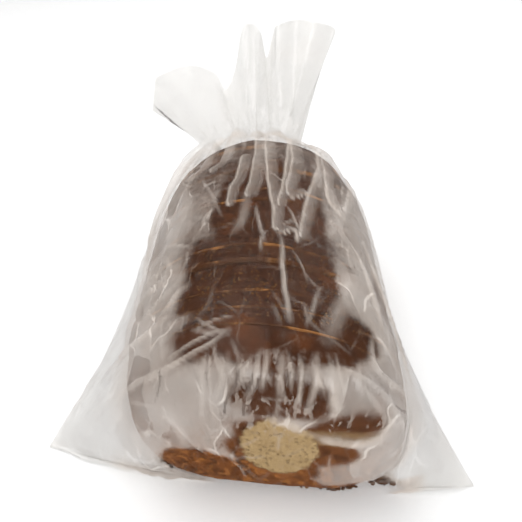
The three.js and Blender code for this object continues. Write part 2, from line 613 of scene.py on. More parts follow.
def evenRing(share):  # the same outline with its corners equally far apart on each half
    fine = np.linspace(0, 1, 721)
    points = bagRing(share, fine)
    run = np.concatenate([[0], np.cumsum(np.linalg.norm(np.diff(points, axis=0), axis=1))])
    left = np.interp(0.5, fine, run)
    lower = bag["around"] - bag["upper"]
    over, under = np.linspace(0, left, bag["upper"] + 1), np.linspace(left, run[-1], lower + 1)
    wanted = np.concatenate([over[:-1], under[:-1]])
    return np.stack([np.interp(wanted, run, points[:, axis]) for axis in range(3)], 1)


def pleatWave():
    draws = np.random.default_rng(bag["seed"])
    turns = turnShares()
    wave = 0
    for count, size in bag["pleatWaves"]:
        wave = wave + size * np.sin(math.tau * (count * turns + draws.uniform()))
    return wave / np.abs(wave).max()


rim = {
    "front": throughPoints([(54, 287, 138), (52, 286, 143), (32, 284, 149), (13, 282, 147), (9, 279, 142),
                            (4, 275, 124), (0, 278, 142), (-6, 281, 147), (-14, 280, 143), (-19, 275, 116),
                            (-27, 270, 101), (-34, 273, 114), (-54, 275, 118), (-76, 275, 111),
                            (-80, 275, 98), (-83, 275, 82)]),
    "leanBehind": 10 * mm,
    "lower": 3 * mm,
    "billow": 5 * mm,
}


def frillPoint(neckRing, wave):
    turns = turnShares()
    front = turns <= 0.5
    along = np.where(front, turns * 2, 2 - turns * 2)
    edge = rim["front"](along) * mm
    edge[:, 1] += np.where(front, 0, rim["leanBehind"] * np.sin(math.pi * along))
    edge[:, 2] -= np.where(front, 0, rim["lower"] * np.sin(math.pi * along))

    def at(share):
        blend = share ** 0.9
        point = neckRing + (edge - neckRing) * blend
        swell = math.sin(math.pi * min(share, 1) * 0.75)
        point = point.copy()
        point[:, 1] += wave * rim["billow"] * swell * np.sin(math.pi * along) ** 0.3
        return point

    return at


def clearLoaf(rows):  # moves what starts inside the bread out to its surface
    core = loafCore()
    tree = BVHTree.FromBMesh(core)
    core.free()
    for ring in rows[1:]:
        for point in ring:
            place, normal, face, away = tree.find_nearest(Vector(point))
            inside = (Vector(point) - place).dot(normal) < 0
            if point[2] > 1 * mm and (inside or away < drape["startOff"]):
                point[:] = place + normal * drape["startOff"]


def looseBag():  # rows of points from the sealed end to the frill's rim
    rows = [evenRing(share) for share in np.linspace(0, 1, bag["bodyRows"] + 1)]
    wave = pleatWave()
    for index, ring in enumerate(rows):
        depth = smooth(bag["pleatsFrom"], 1, index / bag["bodyRows"]) * bag["pleatDepth"]
        outwards = ring - ring.mean(0)
        outwards /= np.linalg.norm(outwards, axis=1)[:, None]
        ring += outwards * (wave * depth - depth * 0.3)[:, None]
        ring[:, 2] = np.maximum(ring[:, 2], bag["table"])
    clearLoaf(rows)
    frill = frillPoint(rows[-1], wave)
    rows += [frill(index / bag["frillRows"]) for index in range(1, bag["frillRows"] + 1)]
    return np.array(rows)


def filmTube(points):  # a tube of film rolled from a flat grid, with its own map
    rows = len(points)
    bm = bmesh.new()
    bm.loops.layers.uv.new("film")
    bmesh.ops.create_grid(bm, x_segments=bag["around"], y_segments=rows - 1, size=1, calc_uvs=True)
    turnOf = bm.verts.layers.int.new("turn")
    rowOf = bm.verts.layers.int.new("row")
    radius = bag["flatAround"] / math.tau
    for corner in bm.verts:
        corner[turnOf] = round((corner.co.x + 1) / 2 * bag["around"])
        corner[rowOf] = round((corner.co.y + 1) / 2 * (rows - 1))
        angle = math.tau * corner[turnOf] / bag["around"]
        corner.co = (radius * math.cos(angle), corner[rowOf] * 4 * mm, radius * math.sin(angle))
    bmesh.ops.remove_doubles(bm, verts=bm.verts, dist=0.1 * mm)
    for corner in bm.verts:
        corner.co = points[corner[rowOf], corner[turnOf] % bag["around"]]
    return bm, turnOf, rowOf


drape = {
    "scale": 10,  # the cloth solver is steadier on a big object
    "frames": 46,
    "quality": 6,
    "stiffness": 60,
    "bending": 0.06,
    "gravity": 0.3,
    "standOff": 0.8 * mm,
    "startOff": 1.2 * mm,
    "jitter": 0.08 * mm,
    "friction": 2,
    "damping": 0.5,
    "mass": 0.05,
    "filmDamping": 5,
    "under": (62 * mm, 6 * mm, 225 * mm),  # held under the loaf: to each side, and from where to where
}


def loafCore():  # the loaf's smooth outer shape, for the film to lie on
    bm = bmesh.new()
    bm.verts.layers.int.new("number")
    depths = [depthForTaper(share) for share in (0.06, 0.3, 0.5, 0.65, 0.75, 0.83, 0.9, 0.95, 0.98)]
    depths += list(np.linspace(depths[-1] + 8 * mm, 0.75 * loaf["length"], 14))
    depths += [depthForTaper(share, False) for share in (0.93, 0.86, 0.78, 0.69, 0.58, 0.45, 0.3, 0.06)]
    edges = startRing(bm, lambda turn: crustPoint(turn, depths[0]))
    closeRing(bm, edges, 0)
    for depth in depths[1:]:
        edges = nextRing(bm, edges, lambda turn: crustPoint(turn, depth), 0)
    closeRing(bm, edges, 0)
    bmesh.ops.recalc_face_normals(bm, faces=bm.faces)
    return bm


def draped(sheet, rolled):  # lets the film fall over the loaf; gives its points
    size = drape["scale"]
    spread = np.array([tuple(corner.co) for corner in sheet.data.vertices])
    row = np.zeros(len(spread), int)
    sheet.data.attributes["row"].data.foreach_get("value", row)
    draws = np.random.default_rng(bag["seed"])
    loose = spread + draws.normal(0, drape["jitter"], spread.shape) * (row < bag["bodyRows"])[:, None]
    sheet.shape_key_add(name="hung")
    flat = sheet.shape_key_add(name="flat")
    sheet.data.vertices.foreach_set("co", (loose * size).ravel())
    sheet.data.shape_keys.key_blocks["hung"].data.foreach_set("co", (loose * size).ravel())
    flat.data.foreach_set("co", (rolled * size).ravel())
    flat.value = 0
    side, start, end = drape["under"]
    under = (spread[:, 2] < 0.6 * mm) & (np.abs(spread[:, 0]) < side)
    under &= (spread[:, 1] > start) & (spread[:, 1] < end)
    held = (row == 0) | (row >= bag["bodyRows"]) | under
    pins = sheet.vertex_groups.new(name="held")
    pins.add(np.flatnonzero(held).tolist(), 1.0, "REPLACE")

    core = loafCore()
    bmesh.ops.scale(core, verts=core.verts, vec=(size, size, size))
    putInOrder(core)
    body = finished(core, "core", [crust])
    body.data.transform(Matrix.Translation(-foot))
    table = bmesh.new()
    bmesh.ops.create_grid(table, x_segments=1, y_segments=1, size=10)
    bmesh.ops.translate(table, verts=table.verts, vec=(0, 0, -0.2 * mm * size))
    ground = finished(table, "ground", [crust])
    for block, thick in ((body, drape["standOff"]), (ground, 0.3 * mm)):
        block.modifiers.new("solid", "COLLISION")
        block.collision.thickness_outer = thick * size
        block.collision.cloth_friction = drape["friction"]
        block.collision.damping = drape["damping"]

    cloth = sheet.modifiers.new("film", "CLOTH")
    settings = cloth.settings
    settings.vertex_group_mass = "held"
    settings.rest_shape_key = flat
    settings.quality = drape["quality"]
    settings.mass = drape["mass"]
    settings.tension_stiffness = settings.compression_stiffness = drape["stiffness"]
    settings.shear_stiffness = drape["stiffness"] / 4
    settings.bending_stiffness = drape["bending"]
    settings.tension_damping = settings.compression_damping = drape["filmDamping"]
    settings.shear_damping = drape["filmDamping"]
    settings.air_damping = 1
    settings.effector_weights.gravity = drape["gravity"]
    cloth.collision_settings.distance_min = 1 * mm * size
    cloth.collision_settings.collision_quality = 3
    cloth.point_cache.frame_start = 1
    cloth.point_cache.frame_end = drape["frames"]
    for number in range(1, drape["frames"] + 1):
        scene.frame_set(number)
    fallen = np.empty(spread.size)
    graph = bpy.context.evaluated_depsgraph_get()
    sheet.evaluated_get(graph).data.vertices.foreach_get("co", fallen)
    sheet.modifiers.clear()
    sheet.shape_key_clear()
    scene.frame_set(1)
    for block in (body, ground):
        bpy.data.objects.remove(block)
    return fallen.reshape(-1, 3) / size


def makeFilm():
    points = looseBag()
    bm, turnOf, rowOf = filmTube(points)
    lengths = np.linalg.norm(np.diff(points, axis=0), axis=2)
    run = np.concatenate([np.zeros((1, bag["around"])), np.cumsum(lengths, 0)]) * bag["slack"]
    radius = bag["flatAround"] / math.tau
    rolled = []
    angles = math.tau * turnShares()
    for corner in bm.verts:
        turn = corner[turnOf] % bag["around"]
        angle = angles[turn]
        rolled.append((radius * math.cos(angle), run[corner[rowOf], turn], radius * math.sin(angle)))
    sheet = finished(bm, "film", [filmPlastic])
    sheet.data.transform(Matrix.Translation(-foot))
    fallen = draped(sheet, np.array(rolled))
    sheet.data.vertices.foreach_set("co", fallen.ravel())
    print("film: draped")
    bm = bmesh.new()
    bm.from_mesh(sheet.data)
    rowOf = bm.verts.layers.int["row"]
    ends = [corner for corner in bm.verts if corner[rowOf] == 0]
    bmesh.ops.remove_doubles(bm, verts=ends, dist=0.3 * mm)
    sealed = [edge for edge in bm.edges if edge.is_boundary and edge.verts[0].co.y < foot.y + 50 * mm]
    bmesh.ops.holes_fill(bm, edges=sealed, sides=4)
    bmesh.ops.recalc_face_normals(bm, faces=bm.faces)
    bm.to_mesh(sheet.data)
    bm.free()
    subdivide(sheet)
    sheet.data.transform(Matrix.Translation(foot))
    return sheet


pleats = {  # flat loops of film that run down from the gather, from the loaf's foot in millimetres
    "rise": 1.1,
    "milk": 0.28,
    "rim": 0.95,
    "rimWide": 0.8,
    "ways": (
        {"wide": 3.4, "points": [(-30, 236, 76), (-34, 211, 85), (-38, 180, 89), (-46, 174, 84)]},
        {"wide": 3.0, "points": [(-16, 236, 80), (-20, 209, 90), (-24, 182, 92), (-30, 173, 91)]},
        {"wide": 4.4, "points": [(0, 236, 82), (1, 200, 94), (-2, 160, 97), (-6, 138, 97)]},
        {"wide": 2.8, "points": [(-9, 184, 92), (-12, 161, 95), (-16, 147, 94), (-18, 131, 94)]},
        {"wide": 3.2, "points": [(6, 232, 84), (6, 208, 92), (7, 156, 96), (10, 120, 97), (9, 102, 96)]},
        {"wide": 3.0, "points": [(20, 230, 80), (21, 204, 90), (17, 158, 95), (12, 127, 95)]},
        {"wide": 3.6, "points": [(38, 232, 72), (40, 182, 88), (32, 140, 93), (24, 98, 94)]},
        {"wide": 3.4, "points": [(23, 210, 88), (23, 176, 93), (18, 141, 95), (25, 145, 92)]},
        {"wide": 3.8, "points": [(44, 225, 70), (43, 186, 86), (44, 146, 88), (50, 133, 84)]},
        {"wide": 3.4, "points": [(60, 200, 64), (58, 160, 77), (53, 138, 83)]},
        {"wide": 2.2, "points": [(10, 98, 96), (16, 103, 95), (21, 102, 94), (21, 94, 94)]},
    ),
}
ridges = {  # single sharp folds
    "ways": (
        {"wide": 2.2, "rise": 2.2, "pale": 0.75, "points": [(11, 92, 96), (12, 55, 98), (14, 28, 94)]},
        {"wide": 2.0, "rise": 1.2, "pale": 0.45, "points": [(30, 56, 91), (26, 42, 92), (22, 28, 92)]},
        {"wide": 7.0, "rise": 1.2, "pale": 0.40, "points": [(49, 72, 86), (40, 44, 89), (31, 20, 90)]},
        {"wide": 5.0, "rise": 1.0, "pale": 0.35,
         "points": [(-9, 140, 97), (-10, 114, 97), (-15, 97, 97)]},
        {"wide": 1.8, "rise": 1.2, "pale": 0.50, "points": [(-3, 125, 96), (-1, 104, 97), (2, 87, 97)]},
        {"wide": 1.8, "rise": 1.0, "pale": 0.35,
         "points": [(-37, 164, 89), (-29, 139, 93), (-23, 118, 93)]},
        {"wide": 1.8, "rise": 1.2, "pale": 0.55, "points": [(16, 124, 94), (20, 109, 93), (22, 96, 93)]},
        {"wide": 1.6, "rise": 1.0, "pale": 0.55, "points": [(-33, 27, 89), (-24, 24, 92), (-15, 22, 93)]},
        {"wide": 1.6, "rise": 1.0, "pale": 0.45, "points": [(-32, 27, 89), (-22, 31, 92), (-14, 32, 93)]},
        {"wide": 1.6, "rise": 1.0, "pale": 0.50, "points": [(-31, 34, 91), (-23, 26, 93), (-15, 20, 94)]},
        {"wide": 4.0, "rise": 2.0, "pale": 0.55, "points": [(-50, 44, 83), (-44, 54, 87), (-38, 62, 88)]},
        {"wide": 1.8, "rise": 1.0, "pale": 0.50,
         "points": [(-56, 104, 81), (-47, 98, 87), (-38, 91, 90)]},
        {"wide": 2.4, "rise": 3.0, "pale": 0.80,
         "points": [(-76, 26, 40), (-67, 18, 59), (-47, 11, 79), (-28, 15, 91), (-15, 23, 93)]},
        {"wide": 2.0, "rise": 1.6, "pale": 0.60, "points": [(-46, 15, 81), (-29, 21, 91), (-15, 24, 94)]},
        {"wide": 2.6, "rise": 3.4, "pale": 0.85,
         "points": [(-98, 64, 20), (-84, 52, 44), (-71, 42, 61), (-60, 36, 75), (-48, 42, 84)]},
        {"wide": 2.2, "rise": 2.4, "pale": 0.75,
         "points": [(36, 6, 86), (45, 5, 81), (58, 3, 70), (70, 2, 46)]},
        {"wide": 2.0, "rise": 1.8, "pale": 0.60, "points": [(40, 6, 83), (51, -1, 73), (62, -1, 54)]},
        {"wide": 2.4, "rise": 3.0, "pale": 0.80,
         "points": [(54, 32, 79), (53, 14, 80), (58, 10, 74), (72, 15, 56)]},
        {"wide": 2.2, "rise": 2.6, "pale": 0.70, "points": [(-74, 66, 66), (-64, 70, 77), (-53, 75, 86)]},
        {"wide": 2.0, "rise": 2.0, "pale": 0.60, "points": [(-70, 76, 72), (-62, 81, 80), (-55, 87, 86)]},
        {"wide": 2.0, "rise": 2.0, "pale": 0.60, "points": [(-64, 50, 76), (-55, 57, 85), (-46, 64, 90)]},
        {"wide": 2.2, "rise": 2.4, "pale": 0.70,
         "points": [(78, 30, 40), (72, 52, 64), (66, 84, 74), (62, 124, 76)]},
        {"wide": 2.0, "rise": 1.8, "pale": 0.60, "points": [(62, 40, 76), (60, 70, 80), (56, 100, 84)]},
        {"wide": 1.8, "rise": 1.0, "pale": 0.70, "points": [(-1, 10, 93), (-2, 1, 87), (-7, -2, 73)]},
        {"wide": 1.5, "rise": 0.8, "pale": 0.60, "points": [(-4, 8, 92), (-8, 1, 87), (-12, -1, 76)]},
        {"wide": 2.2, "rise": 1.0, "pale": 0.65, "points": [(3, 11, 93), (2, 3, 88), (0, -2, 80)]},
        {"wide": 2.4, "rise": 1.0, "pale": 0.65, "points": [(10, 10, 92), (9, 1, 87), (8, -3, 76)]},
        {"wide": 1.8, "rise": 1.0, "pale": 0.70, "points": [(18, 9, 91), (18, -1, 85), (17, -5, 69)]},
        {"wide": 2.4, "rise": 1.2, "pale": 0.70, "points": [(24, 7, 90), (25, -1, 83), (20, -6, 69)]},
        {"wide": 3.6, "rise": 1.0, "pale": 0.75, "points": [(33, 2, 84), (33, -4, 76), (35, -6, 69)]},
        {"wide": 2.0, "rise": 1.0, "pale": 0.50, "points": [(-18, 10, 90), (-18, 1, 83), (-22, -1, 71)]},
        {"wide": 1.5, "rise": 0.8, "pale": 0.60, "points": [(13, 10, 92), (13, 2, 88), (14, -2, 79)]},
        {"wide": 5.0, "rise": 1.0, "pale": 0.55, "points": [(-46, 0, 62), (-40, -2, 48), (-38, -1, 38)]},
        {"wide": 3.4, "rise": 0.8, "pale": 0.50,
         "points": [(20, -6, 56), (37, -7, 50), (52, -6, 50), (62, -2, 56)]},
    ),
}
tuckShadeLines = {  # painted shade: thin dark lines where the film is tucked in, for the shade in its folds
    "wide": 1.6,
    "darkest": 2,  # the first of them
    "faint": 0.78,  # the others
    "ways": (
        [(-82, 275, 88), (-68, 268, 79), (-55, 261, 71)],
        [(-63, 31, 1), (-65, 18, 1), (-60, 14, 1), (-46, 12, 1)],
        [(-47, 14, 82), (-50, 6, 71), (-52, 4, 60)],
        [(-9, 6, 90), (-12, 0, 80), (-14, -1, 75)],
        [(-3, 4, 88), (-5, -1, 82), (-8, -2, 73)],
        [(1, 4, 88), (-2, -1, 82), (-4, -2, 78)],
        [(-12, 0, 82), (-16, -2, 72), (-17, -2, 63)],
        [(-8, -2, 73), (-8, -3, 63)],
        [(14, 4, 88), (11, -2, 80)],
        [(60, 0, 72), (66, 4, 60), (72, 10, 50)],
    ),
}
folds = {
    "through": 7,  # a fold's line may lie this far off the film
    "wobble": 0.18,
    "waves": ((0.13, 0.31, 0.23), (0.21, 0.12, 0.33), (0.32, 0.22, 0.11)),
}
gathers = {  # the short upright creases where the film turns down over the heel
    "left": -34,
    "right": 48,
    "top": (84, 95),
    "bottom": (56, 84),
    "amount": 24,
    "rise": (0.5, 1.2),
    "wide": (1.1, 2.0),
    "pale": (0.15, 0.6),
    "slant": (-6, 5),
    "seed": 5,
}
creases = {  # the fine creases all over, which run roughly towards the gathered mouth
    "amount": 190,
    "length": (6, 26),
    "rise": (0.4, 1.2),
    "wide": (1.1, 1.9),
    "pale": (0.1, 0.5),
    "turned": 0.8,
    "bow": 2.5,
    "lowest": 6,
    "furthest": 225,
    "seed": 23,
}


haze = {  # lengths in metres, and places from the loaf's foot in millimetres
    "touching": 0.8 * mm,  # nearer than this the film is clear
    "milky": 12 * mm,  # and from here on it's at its palest
    "skin": 0.3 * mm,  # the film never comes nearer to the bread than this
    "cling": 3.2 * mm,  # where it clings, film this near is drawn on to the crust
    "clingBlur": 0.9 * mm,
    "evened": 5,
    "eased": 8,
    "table": 0.1 * mm,  # the film's underside never comes lower
    "thinCentre": (2, 185, 86),  # behind, between the pleats, there's less of it
    "thinHalf": (58, 55, 24),
    "thinner": 0.28,
    "window": 0.92,  # where it clings it's clearer still
    "heelMilk": 0.20,  # and paler on the heel around those places
    "sideMilk": 0.26,  # and paler towards the loaf's two sides
    "clearer": 0.12,  # on top the film is clearer than on the heel
    "loose": 2.6 * mm,  # elsewhere it stands off by at least about this much
    "swell": (0.7, 0.5),
    "swellSize": 16 * mm,
    "offTable": (3 * mm, 9 * mm),  # but not where it lies under the loaf
    "tightEvened": 8,
    "curve": 0.55,
    "heelDepth": (14, 2),  # the heel is nearer than this
    "heelRise": (4, 12),
    "sides": (30, 64),  # where the loaf's sides start and end, from its middle
    "topFrom": (8, 46),  # and its top, from the near heel
    "thinEdge": (1.2, 0.7),
}
clinging = (  # where the film lies tight on the bread: centre and half sizes, millimetres from the foot
    {"centre": (-2, 62, 94), "half": (42, 40, 16)},
    {"centre": (6, 118, 94), "half": (30, 48, 14)},
    {"centre": (8, 24, 92), "half": (48, 19, 16)},
    {"centre": (8, 0, 40), "half": (24, 20, 23)},
    {"centre": (9, 0, 74), "half": (24, 16, 9)},
    {"centre": (46, -5, 60), "half": (18, 14, 6)},
    {"centre": (-32, 0, 22), "half": (21, 20, 13)},
    {"centre": (-5, 4, 12), "half": (34, 22, 16)},
    {"centre": (40, 4, 6), "half": (36, 22, 11)},
    {"centre": (50, 26, 84), "half": (8, 10, 12)},
    {"centre": (34, 0, 40), "half": (16, 16, 8)},
)


def alongWay(points, normals, way):  # each point's distance from a line, share of the way, and side of it
    best = np.full(len(points), np.inf)
    share, side = np.zeros((2, len(points)))
    way = throughPoints(way)(np.linspace(0, 1, 4 * len(way) - 3))
    for index in range(len(way) - 1):
        start, step = way[index], way[index + 1] - way[index]
        along = np.clip((points - start) @ step / (step @ step), 0, 1)
        across = points - start - along[:, None] * step
        through = (across * normals).sum(1)
        across -= normals * through[:, None]
        away = np.linalg.norm(across, axis=1) + np.maximum(np.abs(through) - folds["through"], 0)
        nearer = away < best
        best[nearer] = away[nearer]
        share[nearer] = (index + along[nearer]) / (len(way) - 1)
        side[nearer] = (across @ np.cross(step, (0, 0, 1)))[nearer]
    return best, share, np.sign(side)


def drawnValues(draws, ranges):
    return {key: draws.uniform(*ranges[key]) for key in ("rise", "wide", "pale")}


def shortGathers():
    draws = random.Random(gathers["seed"])
    pitch = (gathers["right"] - gathers["left"]) / gathers["amount"]
    found = []
    for index in range(gathers["amount"]):
        x = gathers["left"] + (index + draws.random()) * pitch
        start, end = draws.uniform(*gathers["top"]), draws.uniform(*gathers["bottom"])
        slant = draws.uniform(*gathers["slant"])
        way = [(x, 13, start), (x + slant * 0.4, 2, (start + end) / 2), (x + slant, -2, end)]
        found.append({"points": way, **drawnValues(draws, gathers)})
    return found


def fineCreases(points, normals):
    draws = random.Random(creases["seed"])
    mouth = np.array(gather["place"]) / mm
    found = []
    while len(found) < creases["amount"]:
        index = draws.randrange(len(points))
        start, normal = points[index], normals[index]
        if start[2] < creases["lowest"] or start[1] > creases["furthest"]:
            continue
        towards = mouth - start
        side = np.cross(normal, towards)
        side /= np.linalg.norm(side)
        way = towards / np.linalg.norm(towards) + side * draws.gauss(0, creases["turned"])
        way -= normal * (way @ normal)
        way *= draws.uniform(*creases["length"]) / np.linalg.norm(way)
        bow = side * draws.uniform(-creases["bow"], creases["bow"])
        settled = [start]
        for place in (start + way / 2 + bow, start + way):
            nearest = np.argmin(((points - place) ** 2).sum(1))
            settled.append(points[nearest])
        found.append({"points": settled, **drawnValues(draws, creases)})
    return found


def foldFilm(sheet):  # pushes the folds up, and notes where the film is folded double and where painted shade lies along its tucks
    count = len(sheet.data.vertices)
    spread, normals = np.empty(count * 3), np.empty(count * 3)
    sheet.data.vertices.foreach_get("co", spread)
    sheet.data.vertices.foreach_get("normal", normals)
    spread, normals = spread.reshape(-1, 3), normals.reshape(-1, 3)
    points = (spread - np.array(foot)) / mm
    rise, crests, dark = np.zeros((3, count))
    for fold in list(ridges["ways"]) + shortGathers() + fineCreases(points, normals):
        near, away, share, side = aroundWay(points, normals, fold)
        taper = np.sin(math.pi * np.clip(share, 0.03, 0.97)) ** 0.5
        crest = np.clip(1 - away / fold["wide"], 0, 1) ** 1.3 * taper
        rise[near] = np.maximum(rise[near], fold["rise"] * crest)
        line = smooth(0.85 * fold["wide"], 0.25 * fold["wide"], away) * taper
        crests[near] = np.maximum(crests[near], fold["pale"] * (0.5 * crest + 0.5 * line))
    for fold in pleats["ways"]:
        near, away, share, side = aroundWay(points, normals, fold)
        edge = fold["wide"] * (1.1 - 0.35 * share)
        inside = smooth(edge + 1.0, edge - 0.8, away)
        lit = 0.5 + 0.5 * side * np.clip(away / edge, 0, 1)  # painted highlight: a pleat is painted palest along its left side, where the light falls on it
        border = np.exp(-((away - edge) / pleats["rimWide"]) ** 2) * (0.25 + 0.75 * lit)
        rise[near] = np.maximum(rise[near], pleats["rise"] * inside)
        pale = np.maximum(pleats["milk"] * inside * (0.5 + lit), pleats["rim"] * border)
        crests[near] = np.maximum(crests[near], pale)
    # painted shade: dark lines along the tucked folds
    for number, way in enumerate(tuckShadeLines["ways"]):
        near, away, share, side = aroundWay(points, normals, {"points": way, "wide": tuckShadeLines["wide"]})
        line = np.clip(1.6 - 1.6 * away / tuckShadeLines["wide"], 0, 1)
        line *= np.clip(5 * share * (1 - share) + 0.35, 0, 1)  # it thins out towards its ends
        line *= 1 if number < tuckShadeLines["darkest"] else tuckShadeLines["faint"]
        dark[near] = np.maximum(dark[near], line)
    spread += normals * (rise * mm)[:, None]
    sheet.data.vertices.foreach_set("co", spread.ravel())
    for name, values in (("crest", crests), ("tuckShade", dark)):
        sheet.data.attributes.new(name, "FLOAT", "POINT").data.foreach_set("value", values)


def aroundWay(points, normals, fold):
    way = np.array(fold["points"], float)
    reach = fold["wide"] + folds["through"]
    near = ((points > way.min(0) - reach) & (points < way.max(0) + reach)).all(1).nonzero()[0]
    wobble = np.sin(points[near] @ np.array(folds["waves"]).T) * folds["wobble"]
    return near, *alongWay(points[near] + wobble, normals[near], way)


def evened(mesh, values, rounds):  # lets each point's value drift towards its neighbours'
    ends = np.empty(len(mesh.edges) * 2, int)
    mesh.edges.foreach_get("vertices", ends)
    first, second = ends.reshape(-1, 2).T
    count = len(mesh.vertices)
    neighbours = np.bincount(first, minlength=count) + np.bincount(second, minlength=count)
    for number in range(rounds):
        total = np.bincount(first, values[second], count) + np.bincount(second, values[first], count)
        values = (values + total) / (neighbours + 1)
    return values


def clingShare(point):  # 1 where the film lies tight on the bread
    best = 0.0
    ragged = 0.30 * noise.noise(point / 13) + 0.12 * noise.noise(point / 4.5)
    for patch in clinging:
        away = Vector((p - c) / h for p, c, h in zip(point, patch["centre"], patch["half"])).length
        best = max(best, float(smooth(1.12, 0.92, away + ragged)))
    return best


def nearestHit(trees, point, reach):
    found = [tree.find_nearest(point, reach) for tree in trees]
    found = [hit for hit in found if hit[0] is not None]
    return min(found, key=lambda hit: hit[3]) if found else None


def fitFilm(sheet, contents):  # draws the film on to the bread where it clings, and notes how far off it is
    graph = bpy.context.evaluated_depsgraph_get()
    trees = [BVHTree.FromObject(piece, graph) for piece in contents]
    count = len(sheet.data.vertices)
    tightness, stand = np.zeros(count), np.full(count, haze["milky"])
    places, ways = np.zeros((count, 3)), np.zeros((count, 3))
    for index, corner in enumerate(sheet.data.vertices):
        hit = nearestHit(trees, corner.co, haze["milky"])
        if not hit:
            continue
        place, normal, face, away = hit
        tight = tightness[index] = clingShare((corner.co - foot) / mm)
        outside = (corner.co - place).dot(normal)
        ways[index] = (corner.co - place) / away if outside > 0.1 * mm else normal
        places[index] = place
        if outside < 0:
            away = 0.0
        blur = haze["clingBlur"]
        close = away * float(smooth(haze["cling"] - blur, haze["cling"] + blur, away))
        swell = noise.noise(corner.co / haze["swellSize"])
        free = max(away, haze["loose"] * (haze["swell"][0] + haze["swell"][1] * swell))
        raised = float(smooth(*haze["offTable"], corner.co.z))
        free = free * raised + away * (1 - raised)
        stand[index] = max(haze["skin"], tight * close + (1 - tight) * free)
    near = stand < haze["milky"]
    stand = np.maximum(evened(sheet.data, stand, haze["evened"]), haze["skin"])
    spread = np.empty(count * 3)
    sheet.data.vertices.foreach_get("co", spread)
    spread = spread.reshape(-1, 3)
    spread[near] = (places + ways * stand[:, None])[near]
    eased = np.stack([evened(sheet.data, spread[:, axis], haze["eased"]) for axis in range(3)], 1)
    eased = np.where((near & (spread[:, 2] > 5 * mm))[:, None], eased, spread)
    for index in np.flatnonzero(near):
        hit = nearestHit(trees, eased[index], haze["cling"])
        if hit:
            place, normal, face, away = hit
            outside = (Vector(eased[index]) - place).dot(normal)
            if outside < haze["skin"]:
                eased[index] = place + normal * haze["skin"]
    eased[:, 2] = np.maximum(eased[:, 2], haze["table"])
    sheet.data.vertices.foreach_set("co", eased.ravel())
    share = np.clip((stand - haze["touching"]) / (haze["milky"] - haze["touching"]), 0, 1)
    fog = evened(sheet.data, share ** haze["curve"], haze["evened"])
    points = (eased - np.array(foot)) / mm
    tightness = evened(sheet.data, tightness, haze["tightEvened"])
    onHeel = smooth(*haze["heelDepth"], points[:, 1]) * smooth(*haze["heelRise"], points[:, 2])
    fog += haze["heelMilk"] * onHeel * (1 - tightness)
    fog += haze["sideMilk"] * smooth(*haze["sides"], np.abs(points[:, 0])) * (1 - share)
    fog *= 1 - haze["window"] * tightness
    fog *= 1 - haze["clearer"] * smooth(*haze["topFrom"], points[:, 1]) * (1 - share)
    back = np.linalg.norm((points - haze["thinCentre"]) / haze["thinHalf"], axis=1)
    fog *= 1 - haze["thinner"] * smooth(*haze["thinEdge"], back)
    sheet.data.attributes.new("haze", "FLOAT", "POINT").data.foreach_set("value", fog)
    print("film: haze", np.percentile(fog, (5, 25, 50, 75)).round(2))


filmLook = {
    "thin": tint(240, 226, 213),
    "thick": tint(243, 242, 240),
    # painted shade: the dark colour along the tucks
    "tuckShade": tint(56, 46, 40),
    "glow": tint(252, 250, 247),  # the light that comes through it
    "glowShare": 0.25,
    "rough": 0.22,
    "gloss": 0.007,
    "glossRough": 0.16,
    "milk": (0.29, 0.38),  # where it starts to be milky, and how much is added where it's far off
    "mottled": 0.30,
    "faceted": 0.28,
    "shards": 0.32,
    "lines": (0.38, 0.16),  # the bright edges of its facets, broad and fine
    "tubeSize": (405, 434, 0),  # the map's width and length on the film, in millimetres
    "swirl": (9, 9, 9),
    "facet": 17,  # millimetres across, and longer along the bag
    "smallFacet": 6,
    "along": (1, 0.36, 1),
    "densest": 0.95,
}


